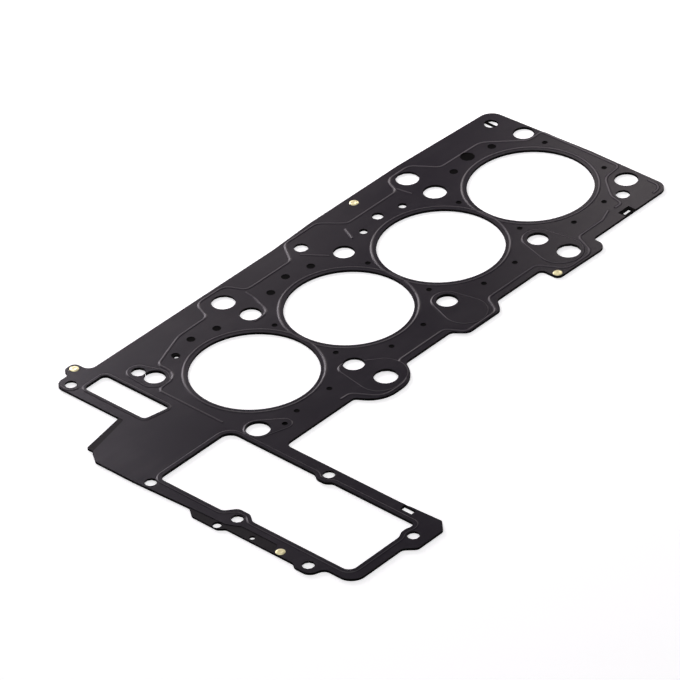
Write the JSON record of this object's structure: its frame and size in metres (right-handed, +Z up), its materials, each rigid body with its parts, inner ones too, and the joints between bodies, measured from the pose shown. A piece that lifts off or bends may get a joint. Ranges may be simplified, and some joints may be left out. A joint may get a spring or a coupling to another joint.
{
  "type": "cylinder head gasket",
  "caption": "Flat cylinder head gasket for an in-line engine, with beaded bore edges, bolt and fluid holes and a timing case frame at one end.",
  "frame": {"origin": "on the axis of bore one, at the gasket's underside", "axes": "+X along the row of bores, away from the timing case end; +Y across the block, towards the edge with the chain window; +Z up out of the beaded face"},
  "size_m": [0.4688, 0.3059, 0.0022],
  "materials": {
    "coated_sheet": "satin",
    "carrier_steel": "satin",
    "brass": "satin"
  },
  "bodies": {
    "root": {"embossed_sheet": "coated_sheet", "carrier_plate": "carrier_steel", "rivets": "brass"}
  },
  "joints": []
}
